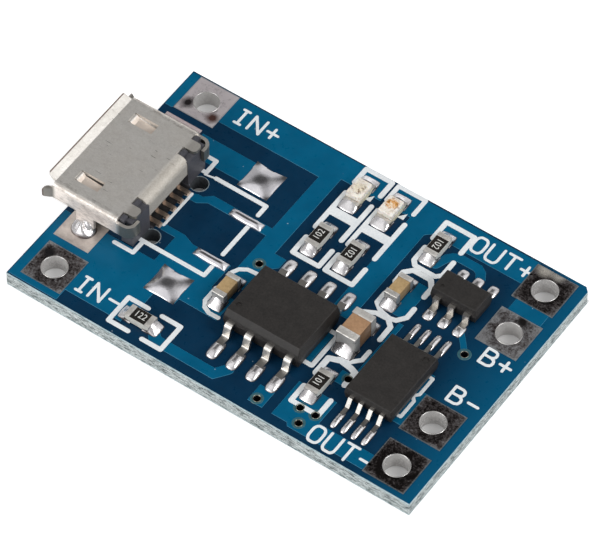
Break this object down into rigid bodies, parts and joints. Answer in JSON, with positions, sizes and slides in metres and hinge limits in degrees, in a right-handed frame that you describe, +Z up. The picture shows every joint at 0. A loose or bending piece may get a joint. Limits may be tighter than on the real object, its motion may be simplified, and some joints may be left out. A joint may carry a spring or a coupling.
{
  "type": "battery charger module",
  "caption": "Small flat charger board for a lithium cell: micro-USB receptacle at one end, chips and passive parts on top, square wire pads at the ends.",
  "frame": {"origin": "centre of the board's underside", "axes": "+X along the board from the receptacle to the output pads, +Y towards the positive input pad's edge, +Z up, out of the face that carries the parts"},
  "size_m": [0.027, 0.017, 0.0035],
  "materials": {
    "laminate": "blue solder mask on the faces, pale glass fibre on the cut edges",
    "in_plus_pad": "tinned copper pad, mottled with flux residue, bright inside the hole",
    "in_minus_pad": "tinned copper pad, mottled with flux residue, bright inside the hole",
    "out_plus_pad": "tinned copper pad, mottled with flux residue, bright inside the hole",
    "out_minus_pad": "tinned copper pad, mottled with flux residue, bright inside the hole",
    "battery_plus_pad": "tinned copper pad, mottled with flux residue, bright inside the hole",
    "battery_minus_pad": "tinned copper pad, mottled with flux residue, bright inside the hole",
    "shell_steel": "tin-plated sheet steel, satin, bright at the folds",
    "black_moulding": "black heat-resistant plastic, matte",
    "contact_metal": "gold-plated copper alloy",
    "tinned_land": "tinned copper with a film of flux",
    "bright_solder": "fresh solder, glossy",
    "spare_solder": "solder mounds, satin with bright facets",
    "chip_moulding": "charcoal moulding compound, fine grain",
    "chip_lead": "tin-plated leads, satin",
    "solder": "solder fillets, glossy",
    "white_ceramic": "white ceramic",
    "resistor_glaze": "black glaze",
    "end_metal": "tinned end caps, satin",
    "tan_ceramic": "tan ceramic, fine grain",
    "orange_ceramic": "orange-brown ceramic, fine grain",
    "led_base": "pale resin carrier",
    "charge_led_lens": "creamy cast resin",
    "standby_led_lens": "creamy cast resin over an orange die"
  },
  "bodies": {
    "root": {"circuit_board": "laminate", "in_plus_terminal": "in_plus_pad", "in_minus_terminal": "in_minus_pad", "out_plus_terminal": "out_plus_pad", "out_minus_terminal": "out_minus_pad", "battery_plus_terminal": "battery_plus_pad", "battery_minus_terminal": "battery_minus_pad", "usb_shell": "shell_steel", "usb_housing": "black_moulding", "usb_contact_ground": "contact_metal", "usb_contact_id": "contact_metal", "usb_contact_data_plus": "contact_metal", "usb_contact_data_minus": "contact_metal", "usb_contact_supply": "contact_metal", "usb_lands": "tinned_land", "usb_leg_solder": "bright_solder", "spare_land_solder": "spare_solder", "charger_chip_body": "chip_moulding", "charger_chip_leads": "chip_lead", "charger_chip_solder": "solder", "switch_chip_body": "chip_moulding", "switch_chip_leads": "chip_lead", "switch_chip_solder": "solder", "protection_chip_body": "chip_moulding", "protection_chip_leads": "chip_lead", "protection_chip_solder": "solder", "charge_led_resistor_ceramic": "white_ceramic", "charge_led_resistor_glaze": "resistor_glaze", "charge_led_resistor_ends": "end_metal", "standby_led_resistor_ceramic": "white_ceramic", "standby_led_resistor_glaze": "resistor_glaze", "standby_led_resistor_ends": "end_metal", "sense_resistor_ceramic": "white_ceramic", "sense_resistor_glaze": "resistor_glaze", "sense_resistor_ends": "end_metal", "filter_resistor_ceramic": "white_ceramic", "filter_resistor_glaze": "resistor_glaze", "filter_resistor_ends": "end_metal", "current_set_resistor_ceramic": "white_ceramic", "current_set_resistor_glaze": "resistor_glaze", "current_set_resistor_ends": "end_metal", "input_capacitor_ceramic": "tan_ceramic", "input_capacitor_ends": "end_metal", "filter_capacitor_ceramic": "tan_ceramic", "filter_capacitor_ends": "end_metal", "battery_capacitor_ceramic": "orange_ceramic", "battery_capacitor_ends": "end_metal", "charge_led_base": "led_base", "charge_led_ends": "end_metal", "charge_led_lens": "charge_led_lens", "standby_led_base": "led_base", "standby_led_ends": "end_metal", "standby_led_lens": "standby_led_lens", "small_part_solder": "solder"}
  },
  "joints": []
}
